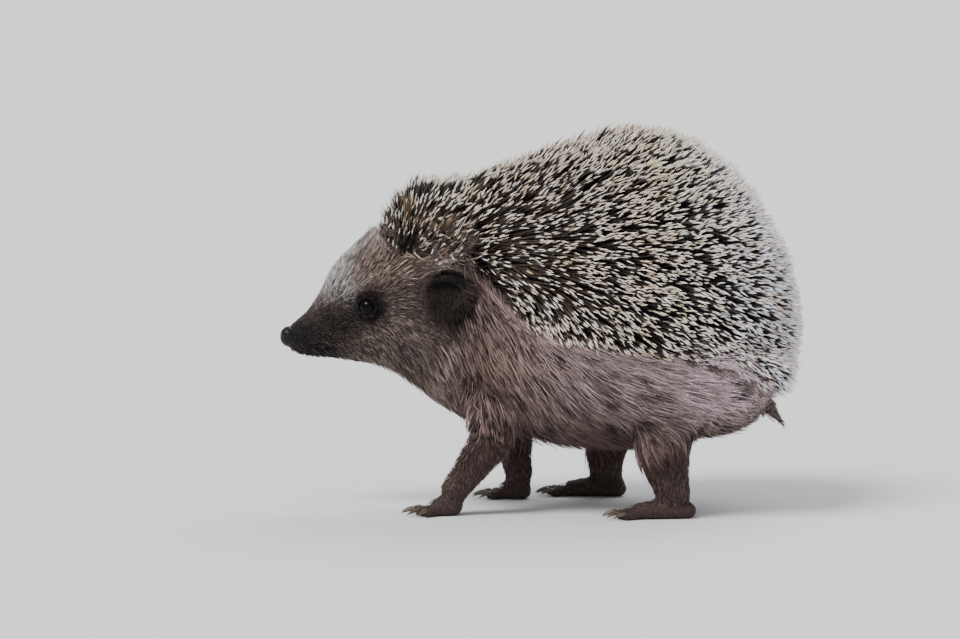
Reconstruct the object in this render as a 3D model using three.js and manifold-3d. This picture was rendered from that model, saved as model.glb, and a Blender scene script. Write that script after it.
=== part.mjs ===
// A European hedgehog (Erinaceus europaeus), subadult, walking with its nose held out over the ground.
// It faces -Y, +X is its left, +Z is up, and the soles of its four feet stand on Z = 0.
// The outline runs to the tips of the coat: fur on face, flanks, belly and legs, spines from brow to rump.
// Two lofts make the body, one through the tips of the fur and one through the tips of the spines.
// The hem of the spiny mantle parts them, and cuts drawn in side view part head, jaw, neck and trunk.
import * as THREE from "three";
import { mergeVertices } from "three/addons/utils/BufferGeometryUtils.js";
import Module from "manifold-3d";

// Driving dimensions, mm. In side view a point is [along, up].
const GAP = 0.35; // between neighbouring pieces
const FUR_RINGS = 35;
const FUR_AROUND = 24;
const SPINE_RINGS = 21;
const SPINE_AROUND = 28;
const SECTION_POWER = 2.15; // 2 is an ellipse, more is squarer
const HEM_STEPS = 29;
const CUTTER_SIZE = 400; // larger than the animal

// The small parts of the head: where each is, and its radii or radius.
const NOSE = { at: [0, -106.1, 72.3], radii: [4.5, 4.3, 4.8] };
const NOSTRIL = { side: 4.3, along: -108.3, up: 71.8, radii: [1.9, 1.2, 1.5] };
const EYE = { side: 14.9, along: -72.3, up: 85.9, radius: 3.7 };
const EAR = {
  at: [31.8, -40, 93.8],
  radii: [3.4, 11, 10.4],
  hollow: { radii: [3.8, 9.4, 8.8], out: 2.6 },
  turn: [0.1, 0.26, -0.36],
};
// Joints [x, y, z, radius] from the root of the tail to its tip.
const TAIL = [[0, 88, 50, 7], [0, 98, 41, 4.6], [0, 105, 32, 1.8]];

// Sections of the furred body from nose to rump. half is the half width, and belt the share of the
// height at which a section is widest.
const FUR_SECTIONS = [
  { name: "nose", top: [-107.0, 75.6], bottom: [-105.2, 66.6], half: 3.4, belt: 0.5 },
  { name: "lip", top: [-102.8, 79.3], bottom: [-101.2, 64.7], half: 5.0, belt: 0.42 },
  { name: "muzzle", top: [-97.6, 84.0], bottom: [-94.5, 63.9], half: 6.9, belt: 0.42 },
  { name: "bridge", top: [-92.6, 92.2], bottom: [-87.2, 63.3], half: 9.8, belt: 0.42 },
  { name: "brow", top: [-87.3, 102.8], bottom: [-79.0, 62.2], half: 13.0, belt: 0.44 },
  { name: "forehead", top: [-78.2, 112.0], bottom: [-69.6, 60.4], half: 16.8, belt: 0.44 },
  { name: "crown", top: [-66.5, 121.2], bottom: [-59.5, 56.0], half: 21.6, belt: 0.46 },
  { name: "ears", top: [-52.0, 127.0], bottom: [-49.0, 49.0], half: 26.4, belt: 0.47 },
  { name: "nape", top: [-36.0, 130.0], bottom: [-36.0, 40.5], half: 31.0, belt: 0.45 },
  { name: "shoulder", top: [-16.0, 135.0], bottom: [-18.0, 32.5], half: 40.0, belt: 0.42 },
  { name: "ribs", top: [8.0, 143.0], bottom: [6.0, 28.5], half: 50.5, belt: 0.4 },
  { name: "loin", top: [34.0, 148.0], bottom: [32.0, 27.5], half: 57.5, belt: 0.38 },
  { name: "hip", top: [58.0, 143.0], bottom: [58.0, 28.5], half: 57.5, belt: 0.38 },
  { name: "croup", top: [82.0, 124.0], bottom: [80.0, 32.0], half: 48.5, belt: 0.4 },
  { name: "rump", top: [98.0, 92.0], bottom: [93.5, 41.5], half: 29.0, belt: 0.45 },
  { name: "end", top: [102.5, 72.0], bottom: [101.0, 62.0], half: 7.0, belt: 0.5 },
];

// Sections through the tips of the spines, from the brow to the rump.
const SPINE_SECTIONS = [
  { name: "peak", top: [-69.2, 122.5], bottom: [-68.6, 117.0], half: 5.0, belt: 0.5 },
  { name: "hood", top: [-67.4, 130.5], bottom: [-64.5, 105.0], half: 18.5, belt: 0.5 },
  { name: "brow", top: [-61.5, 137.0], bottom: [-59.0, 92.0], half: 25.5, belt: 0.48 },
  { name: "crown", top: [-51.0, 141.8], bottom: [-50.0, 78.0], half: 31.5, belt: 0.46 },
  { name: "nape", top: [-36.0, 140.6], bottom: [-36.0, 62.0], half: 38.0, belt: 0.42 },
  { name: "shoulder", top: [-16.0, 147.4], bottom: [-18.0, 48.0], half: 47.5, belt: 0.38 },
  { name: "ribs", top: [8.0, 156.2], bottom: [6.0, 40.0], half: 59.5, belt: 0.36 },
  { name: "arch", top: [36.0, 162.8], bottom: [32.0, 36.0], half: 66.5, belt: 0.35 },
  { name: "loin", top: [60.0, 159.3], bottom: [58.0, 34.0], half: 66.5, belt: 0.35 },
  { name: "croup", top: [82.0, 145.0], bottom: [80.0, 34.0], half: 60.0, belt: 0.38 },
  { name: "rump", top: [98.0, 122.0], bottom: [97.0, 39.0], half: 46.0, belt: 0.42 },
  { name: "seat", top: [107.4, 100.0], bottom: [107.0, 55.0], half: 27.0, belt: 0.46 },
  { name: "end", top: [110.4, 79.0], bottom: [110.2, 70.0], half: 6.0, belt: 0.5 },
];

// The mantle's lower hem: over brow and ear, down behind the shoulder, along the flank to the rump.
const HEM = [
  [-90, 126], [-69.5, 117.5], [-59, 110.2], [-44, 107.2], [-31, 104.0], [-20, 93.5],
  [-6, 80.5], [14, 73.0], [44, 69.0], [72, 65.0], [92, 56.0], [122, 38.0],
];
// Where the body is parted, each line drawn from the top down.
const HEAD_NECK = [[-23, 180], [-26, 100], [-42, 74], [-56, 45], [-60, 0]];
const NECK_TRUNK = [[-10, 180], [-13, 100], [-25, 62], [-33, 35], [-36, 0]];
const CROWN_BACK = [[-25, 190], [-26, 120], [-27, 0]];
const BACK_RUMP = [[84, 190], [66, 100], [58, 0]];
const MOUTH = [[-99.4, 50], [-99.2, 65.9], [-96, 67.0], [-88, 68.2], [-80.5, 70.0], [-76.5, 66], [-76, 50]];

// Swellings and hollows of the face: where they are, how wide, and how far they move its sides out.
const FACE_FORMS = [
  { name: "cheek", at: [19, -61, 76], reach: 13, rise: 2.2 },
  { name: "whisker pad", at: [6, -97, 70], reach: 5.5, rise: 1.0 },
  { name: "brow", at: [13, -76, 94.5], reach: 6.5, rise: 1.2 },
  { name: "eye hollow", at: [14, -80, 84], reach: 6, rise: -1.0 },
  { name: "bridge side", at: [7, -92, 81], reach: 6, rise: -0.9 },
  { name: "temple", at: [21, -57, 98], reach: 10, rise: -1.0 },
];

// Each leg from shoulder or hip to ankle, as joints [x, y, z, radius]. toes is where its toes point.
const LEGS = {
  fore_left: {
    kind: "fore",
    toes: 0.16,
    joints: [[24, -22, 50, 13], [28.5, -20, 33, 10.5], [29, -31, 18, 7.2], [29, -38, 8, 5.6]],
  },
  fore_right: {
    kind: "fore",
    toes: -0.2,
    joints: [[-24, -20, 50, 13], [-28, -14, 33, 10.5], [-28.5, -10, 18, 7.2], [-28.5, -8.5, 8, 5.6]],
  },
  hind_left: {
    kind: "hind",
    toes: 0.14,
    joints: [[34, 55, 52, 18], [39, 50, 34, 13], [39.5, 52.5, 19, 9.4], [39, 56, 8, 6.8]],
  },
  hind_right: {
    kind: "hind",
    toes: -0.12,
    joints: [[-34, 42, 52, 18], [-38.5, 32, 34, 13], [-39, 28.5, 19, 9.2], [-38.5, 29, 8, 6.6]],
  },
};
// Each kind of foot: ankle is the height at which it meets the leg; heel and ball are how far the sole
// reaches behind and ahead of the ankle; sole, its half depth, and wide, how many times wider it is.
const FEET = {
  fore: { ankle: 9, heel: 3.5, ball: 9, sole: 3.9, wide: 1.5, toe: 7.5, fan: 0.75, claw: 4.4 },
  hind: { ankle: 10, heel: 7, ball: 19, sole: 4.1, wide: 1.4, toe: 8.0, fan: 0.42, claw: 4.2 },
};
const TOES = 5;
const TOE_RADIUS = 2.2;
const CLAW_RADIUS = 1.05;

const wasm = await Module();
wasm.setup();

// A closed geometry as a solid, its faces turned outwards.
function solidOf(geometry) {
  const bare = geometry.clone();
  bare.deleteAttribute("normal");
  bare.deleteAttribute("uv");
  const merged = mergeVertices(bare, 1e-4);
  const vertProperties = new Float32Array(merged.attributes.position.array);
  const triVerts = new Uint32Array(merged.index.array);
  const solid = new wasm.Manifold(new wasm.Mesh({ numProp: 3, vertProperties, triVerts }));
  if (solid.volume() > 0) return solid;
  return new wasm.Manifold(new wasm.Mesh({ numProp: 3, vertProperties, triVerts: triVerts.reverse() }));
}

// A solid as a geometry. Cuts can leave crumbs, so only the largest body is taken.
function geometryOf(solid) {
  const largest = solid.decompose().reduce((a, b) => (a.volume() > b.volume() ? a : b));
  const mesh = largest.getMesh();
  const geometry = new THREE.BufferGeometry();
  geometry.setAttribute("position", new THREE.BufferAttribute(mesh.vertProperties, 3));
  geometry.setIndex(new THREE.BufferAttribute(mesh.triVerts, 1));
  geometry.computeVertexNormals();
  return geometry;
}

// Closed rings of equally many points, skinned into one body with a point at each end.
function skin(rings, first, last) {
  const around = rings[0].length;
  const end = rings.length * around + 1;
  const at = (ring, k) => 1 + ring * around + (k % around);
  const index = [];
  for (let k = 0; k < around; k++) {
    index.push(0, at(0, k + 1), at(0, k));
    for (let r = 0; r < rings.length - 1; r++) {
      index.push(at(r, k), at(r, k + 1), at(r + 1, k));
      index.push(at(r, k + 1), at(r + 1, k + 1), at(r + 1, k));
    }
    index.push(end, at(rings.length - 1, k), at(rings.length - 1, k + 1));
  }
  const points = [first, ...rings.flat(), last];
  const geometry = new THREE.BufferGeometry().setFromPoints(points);
  geometry.setIndex(index);
  return solidOf(geometry);
}

// cos or sin of an angle, pushed from an ellipse towards a box.
function squared(value) {
  return Math.sign(value) * Math.abs(value) ** (2 / SECTION_POWER);
}

const curveOf = (points) => new THREE.CatmullRomCurve3(points.map((p) => new THREE.Vector3(...p)));
const middleOf = (ring) => ring.reduce((sum, p) => sum.add(p), new THREE.Vector3()).divideScalar(ring.length);

// A body lofted through side-view sections, smooth between them, grown outwards by a distance.
function loft(sections, ringCount, around, { relief = () => {}, grow = 0 } = {}) {
  const tops = curveOf(sections.map((s) => [0, ...s.top]));
  const bottoms = curveOf(sections.map((s) => [0, ...s.bottom]));
  const widths = curveOf(sections.map((s) => [s.half, s.belt, 0]));
  const rings = [];
  for (let r = 0; r < ringCount; r++) {
    const t = r / (ringCount - 1);
    const [top, bottom, width] = [tops.getPoint(t), bottoms.getPoint(t), widths.getPoint(t)];
    const ring = [];
    for (let k = 0; k < around; k++) {
      const angle = (2 * Math.PI * k) / around;
      const rise = squared(Math.cos(angle));
      const share = width.y + rise * (rise > 0 ? 1 - width.y : width.y);
      const p = bottom.clone().lerp(top, share);
      p.x = width.x * squared(Math.sin(angle));
      relief(p);
      ring.push(p);
    }
    const middle = middleOf(ring);
    ring.forEach((p) => p.addScaledVector(p.clone().sub(middle).normalize(), grow));
    rings.push(ring);
  }
  return skin(rings, middleOf(rings[0]), middleOf(rings.at(-1)));
}

// Moves a point of the head sideways by the forms of the face, alike on both sides.
function faceRelief(p) {
  const onLeft = new THREE.Vector3(Math.abs(p.x), p.y, p.z);
  for (const { at, reach, rise } of FACE_FORMS) {
    const near = Math.exp(-onLeft.distanceToSquared(new THREE.Vector3(...at)) / reach ** 2);
    p.x += Math.sign(p.x) * near * rise;
  }
}

// A bent, tapering, round-ended tube through joints [x, y, z, radius]; wide stretches it sideways.
function limb(joints, { around, ringCount, wide = 1 }) {
  const path = curveOf(joints.map(([x, y, z]) => [x, y, z]));
  const sizes = curveOf(joints.map((joint) => [joint[3], 0, 0]));
  const rings = [];
  for (let r = 0; r < ringCount; r++) {
    const t = r / (ringCount - 1);
    const along = path.getTangent(t);
    const across = new THREE.Vector3(1, 0, 0).addScaledVector(along, -along.x).normalize();
    const deep = along.clone().cross(across);
    const radius = sizes.getPoint(t).x;
    const ring = [];
    for (let k = 0; k < around; k++) {
      const angle = (2 * Math.PI * (k + 0.5)) / around;
      const p = path.getPoint(t).addScaledVector(across, radius * wide * Math.cos(angle));
      ring.push(p.addScaledVector(deep, radius * Math.sin(angle)));
    }
    rings.push(ring);
  }
  const roundEnd = (t, way) => {
    const reach = 0.6 * sizes.getPoint(t).x;
    return path.getPoint(t).addScaledVector(path.getTangent(t), way * reach);
  };
  return skin(rings, roundEnd(0, -1), roundEnd(1, 1));
}

// A ball squeezed to three radii, turned and placed.
function egg(radii, centre, { turn = [0, 0, 0], wide, high, grow = 0 }) {
  const geometry = new THREE.SphereGeometry(1, wide, high);
  geometry.scale(...radii.map((radius) => radius + grow));
  const place = new THREE.Matrix4().makeRotationFromEuler(new THREE.Euler(...turn, "ZYX"));
  return solidOf(geometry.applyMatrix4(place.setPosition(...centre)));
}

// A block with its middle at a point.
function block(size, centre) {
  return solidOf(new THREE.BoxGeometry(...size).translate(...centre));
}

// A side-view outline, cut through the whole width of the animal.
function prism(outline) {
  const shape = new THREE.Shape(outline.map(([along, up]) => new THREE.Vector2(along, up)));
  const geometry = new THREE.ExtrudeGeometry(shape, { depth: CUTTER_SIZE, bevelEnabled: false });
  geometry.translate(0, 0, -CUTTER_SIZE / 2);
  const [x, y, z] = [new THREE.Vector3(1, 0, 0), new THREE.Vector3(0, 1, 0), new THREE.Vector3(0, 0, 1)];
  return solidOf(geometry.applyMatrix4(new THREE.Matrix4().makeBasis(y, z, x)));
}

// A side-view line, smoothed, and moved to its left by a distance.
function smoothed(line, aside, steps) {
  const curve = new THREE.SplineCurve(line.map((p) => new THREE.Vector2(...p)));
  return Array.from({ length: steps + 1 }, (_, k) => {
    const [p, along] = [curve.getPoint(k / steps), curve.getTangent(k / steps)];
    return [p.x - along.y * aside, p.y + along.x * aside];
  });
}

// All that lies in front of (towards -Y) or behind a line drawn from the top down, short of it by half a gap.
function inFrontOf(line) {
  return prism([...smoothed(line, -GAP / 2, 10), [-CUTTER_SIZE, 0], [-CUTTER_SIZE, CUTTER_SIZE]]);
}
function behind(line) {
  return prism([...smoothed(line, GAP / 2, 10), [CUTTER_SIZE, 0], [CUTTER_SIZE, CUTTER_SIZE]]);
}

// The same solid on the other side of the animal.
function mirrored(solid) {
  return solidOf(geometryOf(solid).scale(-1, 1, 1));
}

const COLOURS = {
  face: { color: 0x5b4a42, roughness: 0.95 },
  fur: { color: 0x7d6a5e, roughness: 0.95 },
  spines: { color: 0x9a8b7b, roughness: 0.7 },
  leg: { color: 0x4b4038, roughness: 0.9 },
  foot: { color: 0x43393a, roughness: 0.8 },
  claw: { color: 0x8d7b68, roughness: 0.4 },
  ear: { color: 0x4a3c38, roughness: 0.85 },
  nose: { color: 0x141214, roughness: 0.3 },
  eye: { color: 0x070708, roughness: 0.05 },
};
const hedgehog = new THREE.Group();
function place(name, colour, solid) {
  const mesh = new THREE.Mesh(geometryOf(solid), new THREE.MeshStandardMaterial(COLOURS[colour]));
  mesh.name = name;
  hedgehog.add(mesh);
}

// The mantle of spines, parted into crown, back and rump.
const hemToward = (way) => [[CUTTER_SIZE, way * CUTTER_SIZE], [-CUTTER_SIZE, way * CUTTER_SIZE]];
const aboveHem = prism([...smoothed(HEM, GAP / 2, HEM_STEPS), ...hemToward(1)]);
const belowHem = prism([...smoothed(HEM, -GAP / 2, HEM_STEPS), ...hemToward(-1)]);
const mantle = loft(SPINE_SECTIONS, SPINE_RINGS, SPINE_AROUND).intersect(aboveHem);
place("spines_crown", "spines", mantle.intersect(inFrontOf(CROWN_BACK)));
place("spines_back", "spines", mantle.intersect(behind(CROWN_BACK)).intersect(inFrontOf(BACK_RUMP)));
place("spines_rump", "spines", mantle.intersect(behind(BACK_RUMP)));

// The furred body under it.
const furLoft = (grow = 0) => loft(FUR_SECTIONS, FUR_RINGS, FUR_AROUND, { relief: faceRelief, grow });
const furred = furLoft().intersect(belowHem);
place("neck", "fur", furred.intersect(behind(HEAD_NECK)).intersect(inFrontOf(NECK_TRUNK)));
place("trunk", "fur", furred.intersect(behind(NECK_TRUNK)));

// The head, with its jaw, nose and eyes let into it.
const nose = (grow) => egg(NOSE.radii, NOSE.at, { wide: 14, high: 9, grow });
const eyeRadii = Array(3).fill(EYE.radius);
const eyeAt = (side) => [side * EYE.side, EYE.along, EYE.up];
const eye = (side, grow) => egg(eyeRadii, eyeAt(side), { wide: 12, high: 8, grow });
const jaw = (aside) => prism(smoothed(MOUTH, aside, 16));
const head = furred.intersect(inFrontOf(HEAD_NECK)).subtract(nose(GAP));
place("head", "face", head.subtract(jaw(GAP)).subtract(eye(1, GAP)).subtract(eye(-1, GAP)));
place("lower_jaw", "face", head.intersect(jaw(0)));
const nostrilAt = (side) => [side * NOSTRIL.side, NOSTRIL.along, NOSTRIL.up];
const nostril = (side) => egg(NOSTRIL.radii, nostrilAt(side), { wide: 6, high: 5 });
place("nose", "nose", nose(0).subtract(nostril(1)).subtract(nostril(-1)));
place("eye_left", "eye", eye(1, 0));
place("eye_right", "eye", eye(-1, 0));

// The ears: shallow cups leaning back against the hood.
const bodyRoom = furLoft(GAP);
const mantleRoom = loft(SPINE_SECTIONS, SPINE_RINGS, SPINE_AROUND, { grow: GAP }).intersect(aboveHem);
const cup = (radii, out) => {
  const facing = new THREE.Vector3(1, 0, 0).applyEuler(new THREE.Euler(...EAR.turn, "ZYX"));
  const centre = facing.multiplyScalar(out).add(new THREE.Vector3(...EAR.at));
  return egg(radii, centre.toArray(), { turn: EAR.turn, wide: 13, high: 8 });
};
const clearOfBody = (solid) => solid.subtract(bodyRoom).subtract(mantleRoom);
const ear = clearOfBody(cup(EAR.radii, 0).subtract(cup(EAR.hollow.radii, EAR.hollow.out)));
place("ear_left", "ear", ear);
place("ear_right", "ear", mirrored(ear));

const tail = limb(TAIL, { around: 10, ringCount: 7 });
place("tail", "fur", clearOfBody(tail));

// Where each toe of a foot starts and points, on the ground plane, toe 1 on the inner side.
function toesOf(foot, [x, y], heading) {
  const outer = Math.sign(x);
  const forward = new THREE.Vector3(Math.sin(heading), -Math.cos(heading), 0);
  const across = new THREE.Vector3(outer * -forward.y, outer * forward.x, 0);
  return Array.from({ length: TOES }, (_, k) => {
    const share = (2 * k) / (TOES - 1) - 1; // from -1, the inner toe, to 1, the outer one
    const ahead = forward.clone().applyAxisAngle(new THREE.Vector3(0, 0, 1), outer * share * foot.fan);
    const start = new THREE.Vector3(x, y, 0).addScaledVector(forward, foot.ball - 2);
    start.addScaledVector(across, share * foot.sole * 0.95);
    return { start, ahead, length: foot.toe * (1 - 0.28 * share ** 2) };
  });
}

// A joint at a distance along the line that a toe points in.
function onToe({ start, ahead }, distance, up, radius) {
  const p = start.clone().addScaledVector(ahead, distance);
  return [p.x, p.y, up, radius];
}

function toeSolid(toe) {
  const joints = [
    onToe(toe, 0, 2.4, TOE_RADIUS),
    onToe(toe, toe.length / 2, 2.1, TOE_RADIUS * 0.9),
    onToe(toe, toe.length, 1.5, TOE_RADIUS * 0.8),
  ];
  return limb(joints, { around: 7, ringCount: 3 });
}

// A claw starts just clear of the round end of its toe.
function clawSolid(toe, foot) {
  const start = toe.length + 0.6 * (TOE_RADIUS * 0.8 + CLAW_RADIUS) + GAP;
  const joints = [
    onToe(toe, start, 2.3, CLAW_RADIUS),
    onToe(toe, start + foot.claw * 0.5, 2.5, CLAW_RADIUS * 0.8),
    onToe(toe, start + foot.claw, 1.1, CLAW_RADIUS * 0.35),
  ];
  return limb(joints, { around: 6, ringCount: 3 });
}

function soleSolid(foot, [x, y], heading) {
  const [sin, cos] = [Math.sin(heading), Math.cos(heading)];
  const onSole = (ahead, up, radius) => [x + sin * ahead, y - cos * ahead, up, radius];
  const joints = [
    onSole(-foot.heel, 2.9, foot.sole * 0.85),
    onSole(0, 3.3, foot.sole),
    onSole(foot.ball * 0.6, 3.2, foot.sole),
    onSole(foot.ball, 2.6, foot.sole * 0.85),
  ];
  return limb(joints, { around: 11, ringCount: 5, wide: foot.wide });
}

const halfSpace = (from, way) => {
  const size = [CUTTER_SIZE, CUTTER_SIZE, CUTTER_SIZE];
  return block(size, [0, 0, from + (way * CUTTER_SIZE) / 2]);
};
for (const [name, { kind, toes: heading, joints }] of Object.entries(LEGS)) {
  const foot = FEET[kind];
  const toes = toesOf(foot, joints.at(-1), heading);
  let whole = limb(joints, { around: 12, ringCount: 6 }).add(soleSolid(foot, joints.at(-1), heading));
  for (const toe of toes) whole = whole.add(toeSolid(toe));
  whole = whole.subtract(halfSpace(0, -1)).subtract(bodyRoom);
  place(`leg_${name}`, "leg", whole.intersect(halfSpace(foot.ankle + GAP / 2, 1)));
  place(`foot_${name}`, "foot", whole.intersect(halfSpace(foot.ankle - GAP / 2, -1)));
  toes.forEach((toe, k) => place(`claw_${name}_${k + 1}`, "claw", clawSolid(toe, foot)));
}

// The origin is on the ground under the middle of the animal's box.
const middle = new THREE.Box3().setFromObject(hedgehog).getCenter(new THREE.Vector3());
hedgehog.position.set(-middle.x, -middle.y, 0);

export default hedgehog;
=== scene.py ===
import math

import bmesh
import bpy
import numpy as np
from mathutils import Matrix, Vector
from mathutils.bvhtree import BVHTree
from mathutils.kdtree import KDTree


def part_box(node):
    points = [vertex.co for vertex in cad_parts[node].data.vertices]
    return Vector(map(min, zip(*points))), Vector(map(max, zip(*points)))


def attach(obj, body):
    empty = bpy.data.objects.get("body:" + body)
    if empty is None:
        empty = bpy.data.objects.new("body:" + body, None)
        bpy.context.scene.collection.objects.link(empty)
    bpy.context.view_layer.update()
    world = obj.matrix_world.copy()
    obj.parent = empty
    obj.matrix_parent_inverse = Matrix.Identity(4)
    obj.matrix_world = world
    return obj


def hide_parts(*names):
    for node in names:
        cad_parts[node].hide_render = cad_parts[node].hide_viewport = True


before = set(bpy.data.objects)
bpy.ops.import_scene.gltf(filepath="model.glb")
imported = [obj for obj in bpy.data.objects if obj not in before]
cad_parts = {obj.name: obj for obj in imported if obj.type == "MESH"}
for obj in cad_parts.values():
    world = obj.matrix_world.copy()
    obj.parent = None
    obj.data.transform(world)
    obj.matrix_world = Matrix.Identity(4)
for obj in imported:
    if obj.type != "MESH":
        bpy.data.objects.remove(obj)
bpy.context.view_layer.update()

# A European hedgehog in mid-stride. The animal faces -Y, +X is its left, +Z is up, in metres.
# One skin lies under the whole coat. Quills and fur grow from it along a comb: named places on the
# body, seen from the side, each with the angle at which the coat lies there. Sizes are named in mm.
# In the tables and their comments, "along" and "up" are Y and Z in mm.
MM = 0.001
rng = np.random.default_rng(7)

LEGS = ("fore_left", "fore_right", "hind_left", "hind_right")
TOES = range(1, 6)
MANTLE = ("spines_crown", "spines_back", "spines_rump")
EARS = ("ear_left", "ear_right")
EYES = ("eye_left", "eye_right")
LIMBS = tuple(f"leg_{leg}" for leg in LEGS)
FEET = tuple(f"foot_{leg}" for leg in LEGS)
FLESH = ("head", "lower_jaw", "neck", "trunk", "tail", "nose") + EARS + LIMBS + FEET
BODY_NODES = FLESH + MANTLE + EYES

# How far the skin lies inside the outline of the coat. It is deeper up the head and the legs.
COAT_DEPTH = {"head": 0.4, "lower_jaw": 0.8, "neck": 4.5, "trunk": 6.5, "tail": 1.6, "nose": 0.7}
for kin, kin_depth in ((EARS, 0.2), (MANTLE, 12.5), (LIMBS, 1.8), (FEET, 0.25), (EYES, 1.2)):
    COAT_DEPTH.update(dict.fromkeys(kin, kin_depth))

GROWTH = 0.25  # the solids are grown by this, so that the cuts between them close
VOXEL = 1.0  # size of the skin's mesh
SKIN_SHARE = 0.36  # of the skin's triangles that are kept, but for face, ears and feet
FACE_END = -66  # along, the face lies ahead of this
FRINGE = -68.5  # along, the quills begin behind this
LEG_TOP = 33  # up, above this the legs wear the body's fur
BELLY_TOP = 42  # up, below this the flank's fur is a piece of its own

EYE_WAYS = ((0.93, -0.34, 0.12), (0.34, 0.93, 0.1))  # on the left: what it faces, and back
LID_OPENING = 3.45  # half the length of the slit between the lids
LID_REACH = 3.4  # from the slit to where the lids end in the face
LID_FOLDS = ((1.5, 0.28, 0.42), (2.7, 0.16, 0.5))  # (distance from the slit, depth, width)
LID_BEHIND = 0.9  # how far the skin sinks behind the front of the eyeball
EAR_WAYS = ((0.9, -0.36, -0.26), (0.36, 0.93, 0.0))  # on the left: what it faces, and back
EAR_RADII = (9.0, 8.4)  # of the rim, to the back and up
EAR_POWER = 2.6  # of the rim's outline, where 2 is an ellipse
MOUTH_DEPTH = 0.75
MOUTH_WIDTH = 0.45
TOE_RADIUS = (1.9, 1.4)  # at the base and at the tip
TOE_LENGTH = 6.5
TOE_RISE = 0.7  # from its tip to its base
TOE_BACK = 1.9  # from the claw's root back to the toe's tip
TOE_HEIGHT = 1.65  # of the middle of its tip
TOE_BLEND = 0.3  # how softly toes run into each other
CLAW_LET_IN = 1.9  # to its toe

# The lie of the coat: (name, along, up, angle). Angle 0 points to the tail and 90 up, as seen from
# the animal's left. Quills follow it as they stand, fur is laid along the skin, and its last number is
# the length of the hair.
QUILL_COMB = (
    ("fringe", -69, 122, 82), ("fringe side", -62, 112, 72), ("hood", -60, 132, 84),
    ("hood top", -48, 139, 76), ("behind hood", -30, 139, 64), ("shoulder top", -9, 148, 60),
    ("back", 17, 157, 63), ("arch", 42, 162, 66), ("loin", 66, 155, 54), ("croup", 86, 138, 38),
    ("rump", 99, 119, 22), ("seat", 107, 98, 8), ("tail side", 110, 79, -8), ("tail end", 107, 60, -20),
    ("hood side", -52, 122, 62), ("over ear", -44, 111, 34), ("behind ear", -28, 110, 22),
    ("neck side", -30, 125, 48), ("shoulder", -10, 128, 44), ("shoulder side", -10, 114, 12),
    ("shoulder low", -16, 100, -30), ("fore hem", -2, 88, -56), ("hem corner", 8, 80, -56),
    ("ribs top", 16, 140, 45), ("ribs high", 16, 128, 28), ("ribs", 16, 112, 6),
    ("ribs low", 14, 98, -22), ("ribs hem", 26, 80, -40), ("side top", 45, 142, 42),
    ("side high", 45, 128, 24), ("side", 45, 112, 4), ("side low", 45, 96, -10),
    ("side hem", 50, 78, -24), ("hip top", 68, 140, 34), ("hip", 68, 120, 14), ("hip low", 68, 98, -10),
    ("hip hem", 72, 76, -26), ("haunch", 88, 112, 8), ("haunch low", 88, 88, -22),
    ("haunch hem", 92, 62, -36),
)
FUR_COMB = (
    ("snout", -100, 76, 4, 1.5), ("lip", -98, 68, -12, 1.8), ("bridge", -92, 86, 50, 3.2),
    ("brow", -84, 98, 52, 5.0), ("forehead", -75, 110, 52, 7.5), ("over eye", -70, 98, 32, 3.2),
    ("mask", -86, 78, -4, 2.2), ("cheek", -66, 78, -12, 4.2), ("jowl", -72, 67, -20, 4.2),
    ("chin", -90, 64, -8, 2.4), ("temple", -56, 98, 16, 5.5), ("fore ear", -54, 90, -4, 7.5),
    ("crown side", -60, 106, 30, 8.5), ("over ear", -43, 106, 36, 13), ("cheek back", -50, 80, -22, 7),
    ("throat", -54, 58, -45, 9), ("behind ear", -27, 94, -44, 9), ("neck", -32, 84, -62, 12),
    ("neck low", -36, 64, -68, 13), ("shoulder", -16, 78, -48, 16), ("shoulder low", -20, 56, -72, 14),
    ("elbow", -16, 42, -80, 8), ("fore hem", 0, 74, -34, 18), ("ribs", 0, 60, -52, 19),
    ("ribs low", 0, 42, -60, 17), ("flank", 22, 66, -14, 21), ("flank mid", 22, 54, -30, 21),
    ("flank low", 24, 38, -44, 18), ("side hem", 46, 66, -6, 21), ("side", 48, 52, -22, 20),
    ("thigh top", 70, 60, -12, 17), ("thigh", 66, 46, -34, 13), ("thigh low", 58, 34, -64, 7),
    ("haunch", 86, 52, -24, 13), ("tail root", 98, 44, -40, 5), ("tail", 104, 34, -50, 2.2),
    ("wrist", -36, 16, -84, 2.6), ("elbow down", -24, 30, -80, 4.5), ("far wrist", -10, 16, -84, 2.6),
    ("shank", 54, 18, -80, 3.2), ("far shank", 28, 18, -80, 3.2),
)


# ---------- small tools

def smoothstep(value, low, high):
    """From 0 at low to 1 at high."""
    t = np.clip((value - low) / (high - low), 0, 1)
    return t * t * (3 - 2 * t)


def fading(value, low, high):
    """From 1 at low to 0 at high."""
    return 1 - smoothstep(value, low, high)


def bell(value, middle, width):
    """1 in the middle, and less to both sides."""
    return np.exp(-(((value - middle) / width) ** 2))


def blended(values, share, target):
    """Values led to a target by a share at each point."""
    return values + np.reshape(share, (-1, 1)) * (np.array(target) - values)


def unit(vectors):
    return vectors / np.maximum(np.linalg.norm(vectors, axis=-1, keepdims=True), 1e-12)


def side_view(points):
    """How far along and how far up points lie, in mm."""
    return points[:, 1] / MM, points[:, 2] / MM


def gap_to(points, places):
    """How far each point lies from the nearest of some places."""
    return np.min([np.linalg.norm(points - place, axis=1) for place in places], axis=0)


def centre_and_size(node):
    low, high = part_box(node)
    return np.array((low + high) / 2), np.array(high - low)


def read(items, field, width, kind=np.float32):
    """One field of all of a mesh's items, as rows of a width."""
    values = np.empty(len(items) * width, kind)
    items.foreach_get(field, values)
    return values.reshape(-1, width)


def arrays_of(mesh):
    """A mesh's vertices and triangles."""
    mesh.calc_loop_triangles()
    return read(mesh.vertices, "co", 3).astype(float), read(mesh.loop_triangles, "vertices", 3, np.int32)


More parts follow.
